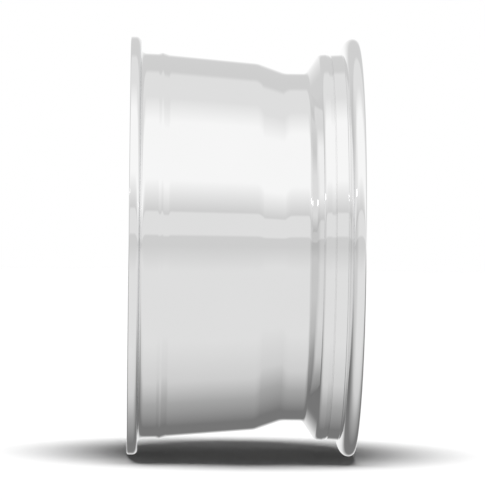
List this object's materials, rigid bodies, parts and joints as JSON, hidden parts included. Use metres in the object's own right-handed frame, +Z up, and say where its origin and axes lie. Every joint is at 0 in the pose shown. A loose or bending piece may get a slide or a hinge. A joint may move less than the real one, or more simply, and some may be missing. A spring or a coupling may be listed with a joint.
{
  "type": "racing wheel rim",
  "caption": "Polished forged racing wheel rim with a drop-centre barrel, rounded lip, bolted spoked centre, valve and push-in centre cap.",
  "frame": {"origin": "middle of the overall width, on the spin axis", "axes": "+Y along the spin axis towards the vehicle (inboard), +Z up, the outboard face looks along -Y"},
  "size_m": [0.4148, 0.2254, 0.4148],
  "materials": {
    "rim_polished": "mirror polished forged aluminium",
    "centre_machined": "fine turned and milled forged aluminium, clear finish",
    "ring_anodised": "anodised, satin",
    "cap_anodised": "anodised, satin",
    "bolt_steel": "bright plated steel",
    "nut_steel": "plated steel",
    "seat_steel": "turned steel",
    "spring_steel": "drawn wire",
    "valve_nickel": "nickel plated brass",
    "core_brass": "turned brass",
    "seal_rubber": "moulded, matt"
  },
  "bodies": {
    "root": {"rim": "rim_polished", "centre": "centre_machined", "spigot_ring": "ring_anodised", "valve_stem": "valve_nickel", "valve_grommet": "seal_rubber", "valve_washer": "bolt_steel", "valve_nut": "valve_nickel", "valve_core": "core_brass", "valve_spring": "spring_steel", "assembly_bolt_01": "bolt_steel", "assembly_bolt_02": "bolt_steel", "assembly_bolt_03": "bolt_steel", "assembly_bolt_04": "bolt_steel", "assembly_bolt_05": "bolt_steel", "assembly_bolt_06": "bolt_steel", "assembly_bolt_07": "bolt_steel", "assembly_bolt_08": "bolt_steel", "assembly_bolt_09": "bolt_steel", "assembly_bolt_10": "bolt_steel", "assembly_bolt_11": "bolt_steel", "assembly_bolt_12": "bolt_steel", "assembly_bolt_13": "bolt_steel", "assembly_bolt_14": "bolt_steel", "assembly_bolt_15": "bolt_steel", "assembly_nut_01": "nut_steel", "assembly_nut_02": "nut_steel", "assembly_nut_03": "nut_steel", "assembly_nut_04": "nut_steel", "assembly_nut_05": "nut_steel", "assembly_nut_06": "nut_steel", "assembly_nut_07": "nut_steel", "assembly_nut_08": "nut_steel", "assembly_nut_09": "nut_steel", "assembly_nut_10": "nut_steel", "assembly_nut_11": "nut_steel", "assembly_nut_12": "nut_steel", "assembly_nut_13": "nut_steel", "assembly_nut_14": "nut_steel", "assembly_nut_15": "nut_steel", "lug_seat_1": "seat_steel", "lug_seat_2": "seat_steel", "lug_seat_3": "seat_steel", "lug_seat_4": "seat_steel", "lug_seat_5": "seat_steel"},
    "centre_cap": {"centre_cap": "cap_anodised", "cap_spring_ring": "spring_steel", "cap_seal": "seal_rubber"},
    "valve_cap": {"valve_cap": "cap_anodised", "valve_cap_seal": "seal_rubber"},
    "valve_pin": {"valve_pin": "core_brass"}
  },
  "joints": [
    {"name": "centre_cap_pull", "type": "slide", "parent": "root", "child": "centre_cap", "axis": [0, -1, 0], "range_m": [0, 0.03]},
    {"name": "valve_cap_lift", "type": "slide", "parent": "root", "child": "valve_cap", "axis": [-0.5318, -0.829, 0.1728], "range_m": [0, 0.018]},
    {"name": "valve_pin_press", "type": "slide", "parent": "root", "child": "valve_pin", "axis": [0.5318, 0.829, -0.1728], "range_m": [0, 0.0015], "stiffness_N_per_m": 300, "springref_m": -0.002, "deforming": ["valve_spring"]}
  ]
}
